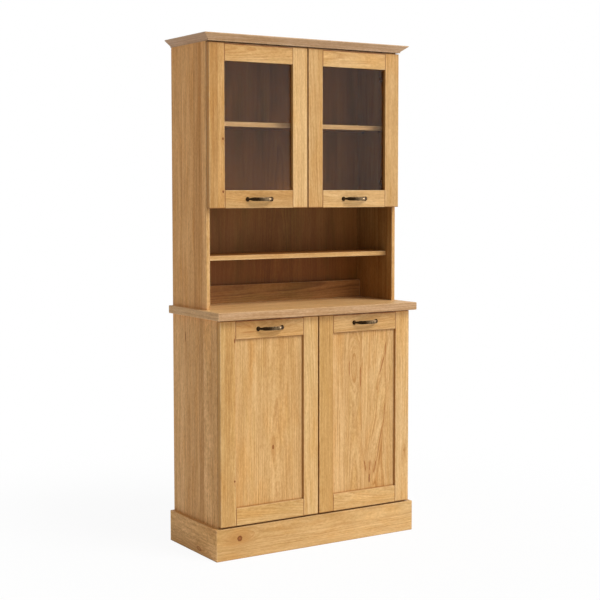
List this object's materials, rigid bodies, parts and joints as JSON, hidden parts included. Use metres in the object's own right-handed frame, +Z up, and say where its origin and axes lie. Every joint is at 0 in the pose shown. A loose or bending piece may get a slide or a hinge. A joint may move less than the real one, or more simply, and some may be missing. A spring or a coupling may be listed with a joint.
{
  "type": "step back cupboard",
  "caption": "Tall pine step back cupboard: panelled base doors under a worktop, and a narrower hutch on it with an open niche, glazed doors and a cornice.",
  "frame": {"origin": "on the floor, under the middle of the overall width and of the worktop from front to back", "axes": "+Z up; +Y from the doors towards the wall behind; +X to the right of someone who faces the doors"},
  "size_m": [0.85, 0.372, 1.8],
  "materials": {
    "pine": "honey pine, satin lacquer",
    "dark_pine": "honey pine, satin lacquer, in shade",
    "beech": "bare",
    "pane": "clear",
    "bronze": "antique bronze, dark patina",
    "nickel_steel": "nickel plated"
  },
  "bodies": {
    "cabinet": {"back_rail": "dark_pine", "base_back": "pine", "base_floor": "pine", "base_shelf": "pine", "base_side_left": "pine", "base_side_right": "pine", "cornice_front": "pine", "cornice_left": "pine", "cornice_right": "pine", "display_shelf": "dark_pine", "front_stretcher": "pine", "hinge_arms": "nickel_steel", "hutch_back": "dark_pine", "hutch_deck": "dark_pine", "hutch_dowels": "beech", "hutch_side_left": "pine", "hutch_side_right": "pine", "hutch_top": "pine", "niche_shelf": "dark_pine", "plinth_front": "pine", "plinth_left": "pine", "plinth_right": "pine", "rear_stretcher": "pine", "shelf_pins": "nickel_steel", "worktop": "pine"},
    "lower_left_door": {"lower_left_bottom_rail": "pine", "lower_left_handle": "bronze", "lower_left_hinge_cups": "nickel_steel", "lower_left_panel": "pine", "lower_left_stile_inner": "pine", "lower_left_stile_outer": "pine", "lower_left_top_rail": "pine"},
    "lower_left_links": {"lower_left_hinge_links": "nickel_steel"},
    "lower_right_door": {"lower_right_bottom_rail": "pine", "lower_right_handle": "bronze", "lower_right_hinge_cups": "nickel_steel", "lower_right_panel": "pine", "lower_right_stile_inner": "pine", "lower_right_stile_outer": "pine", "lower_right_top_rail": "pine"},
    "lower_right_links": {"lower_right_hinge_links": "nickel_steel"},
    "upper_left_door": {"upper_left_beads": "pine", "upper_left_bottom_rail": "pine", "upper_left_glass": "pane", "upper_left_handle": "bronze", "upper_left_hinge_cups": "nickel_steel", "upper_left_stile_inner": "pine", "upper_left_stile_outer": "pine", "upper_left_top_rail": "pine"},
    "upper_left_links": {"upper_left_hinge_links": "nickel_steel"},
    "upper_right_door": {"upper_right_beads": "pine", "upper_right_bottom_rail": "pine", "upper_right_glass": "pane", "upper_right_handle": "bronze", "upper_right_hinge_cups": "nickel_steel", "upper_right_stile_inner": "pine", "upper_right_stile_outer": "pine", "upper_right_top_rail": "pine"},
    "upper_right_links": {"upper_right_hinge_links": "nickel_steel"}
  },
  "joints": [
    {"name": "lower_left_door_swing", "type": "hinge", "parent": "cabinet", "child": "lower_left_door", "pos_m": [-0.392, -0.157, 0.4705], "axis": [0, 0, -1], "range_deg": [0, 95]},
    {"name": "lower_left_link_turn", "type": "hinge", "parent": "cabinet", "child": "lower_left_links", "pos_m": [-0.3715, -0.136, 0.4705], "axis": [0, 0, -1], "range_deg": [0, 40]},
    {"name": "lower_right_door_swing", "type": "hinge", "parent": "cabinet", "child": "lower_right_door", "pos_m": [0.392, -0.157, 0.4705], "axis": [0, 0, 1], "range_deg": [0, 95]},
    {"name": "lower_right_link_turn", "type": "hinge", "parent": "cabinet", "child": "lower_right_links", "pos_m": [0.3715, -0.136, 0.4705], "axis": [0, 0, 1], "range_deg": [0, 40]},
    {"name": "upper_left_door_swing", "type": "hinge", "parent": "cabinet", "child": "upper_left_door", "pos_m": [-0.392, -0.087, 1.489], "axis": [0, 0, -1], "range_deg": [0, 95]},
    {"name": "upper_left_link_turn", "type": "hinge", "parent": "cabinet", "child": "upper_left_links", "pos_m": [-0.3715, -0.066, 1.489], "axis": [0, 0, -1], "range_deg": [0, 40]},
    {"name": "upper_right_door_swing", "type": "hinge", "parent": "cabinet", "child": "upper_right_door", "pos_m": [0.392, -0.087, 1.489], "axis": [0, 0, 1], "range_deg": [0, 95]},
    {"name": "upper_right_link_turn", "type": "hinge", "parent": "cabinet", "child": "upper_right_links", "pos_m": [0.3715, -0.066, 1.489], "axis": [0, 0, 1], "range_deg": [0, 40]}
  ],
  "couplings": [
    {"joint": "lower_left_link_turn", "follows": "lower_left_door_swing", "ratio": 0.421},
    {"joint": "lower_right_link_turn", "follows": "lower_right_door_swing", "ratio": 0.421},
    {"joint": "upper_left_link_turn", "follows": "upper_left_door_swing", "ratio": 0.421},
    {"joint": "upper_right_link_turn", "follows": "upper_right_door_swing", "ratio": 0.421}
  ]
}
